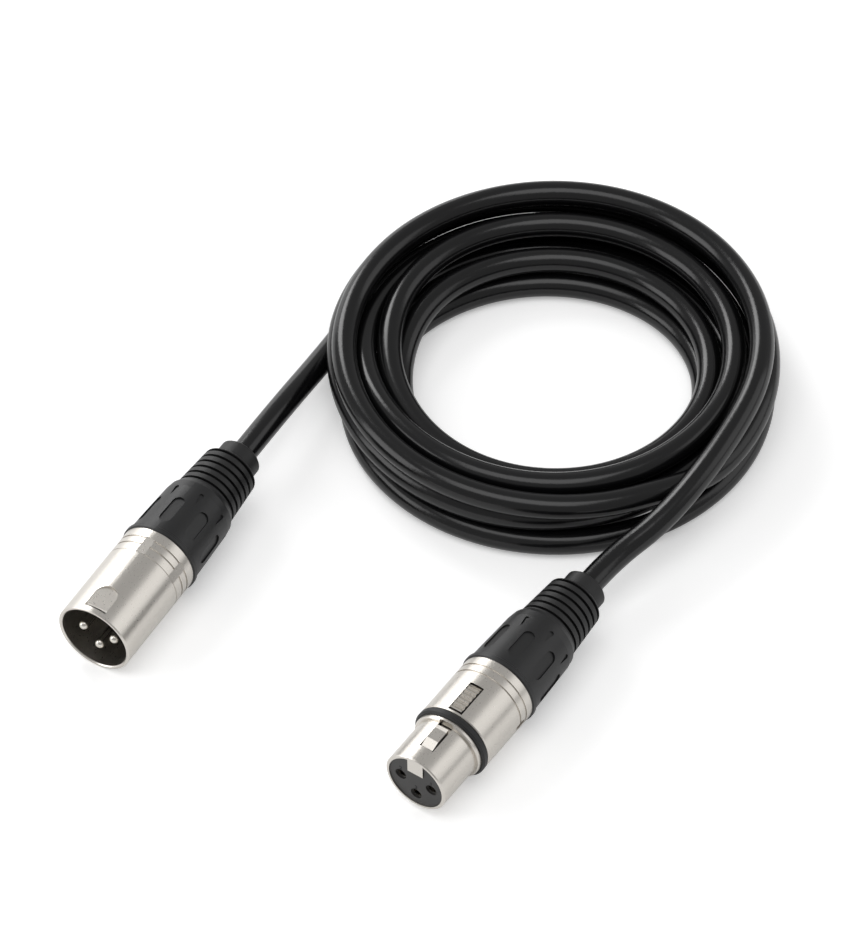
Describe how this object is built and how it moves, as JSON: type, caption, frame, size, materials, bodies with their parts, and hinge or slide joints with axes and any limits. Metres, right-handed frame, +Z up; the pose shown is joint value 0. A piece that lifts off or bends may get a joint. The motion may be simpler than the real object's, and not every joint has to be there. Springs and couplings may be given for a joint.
{
  "type": "coiled microphone cable",
  "caption": "Round black audio cable in a neat flat coil, with a metal pin plug and a metal socket connector lying in front, each with a ribbed strain relief.",
  "frame": {"origin": "centre of the whole part's box, on the surface it lies on", "axes": "+Z up, +Y from the connectors' noses towards the coil, +X to the right of the two connectors"},
  "size_m": [0.166, 0.1842, 0.0202],
  "materials": {
    "nickel_shell": "satin nickel plating on die-cast zinc",
    "contact_silver": "silver-plated bronze",
    "spring_steel": "bare stainless spring steel",
    "insert_plastic": "matt glass-filled polyester",
    "boot_plastic": "satin black polyamide",
    "soft_rubber": "black polyurethane rubber",
    "cord_jacket": "glossy black PVC",
    "wire_insulation": "coloured conductor insulation"
  },
  "bodies": {
    "cable": {"male_shell": "nickel_shell", "male_insert": "insert_plastic", "male_pin_1": "contact_silver", "male_pin_2": "contact_silver", "male_pin_3": "contact_silver", "male_earth_spring": "spring_steel", "male_boot": "boot_plastic", "male_sleeve": "soft_rubber", "male_chuck": "boot_plastic", "male_cord_end": "cord_jacket", "male_wires": "wire_insulation", "male_tail": "cord_jacket", "female_shell": "nickel_shell", "female_insert": "insert_plastic", "female_socket_1": "contact_silver", "female_socket_2": "contact_silver", "female_socket_3": "contact_silver", "bumper_ring": "soft_rubber", "latch_pin": "spring_steel", "latch_spring": "spring_steel", "female_earth_spring": "spring_steel", "female_boot": "boot_plastic", "female_sleeve": "soft_rubber", "female_chuck": "boot_plastic", "female_cord_end": "cord_jacket", "female_wires": "wire_insulation", "female_tail": "cord_jacket", "coil": "cord_jacket"},
    "latch": {"latch_lever": "nickel_shell"}
  },
  "joints": [
    {"name": "latch_press", "type": "hinge", "parent": "cable", "child": "latch", "pos_m": [0.01241, -0.06691, 0.01599], "axis": [0.8221, -0.5693, 0], "range_deg": [0, 3.5], "stiffness_Nm_per_rad": 0.2, "springref_deg": -5.73, "deforming": ["latch_spring"]}
  ]
}
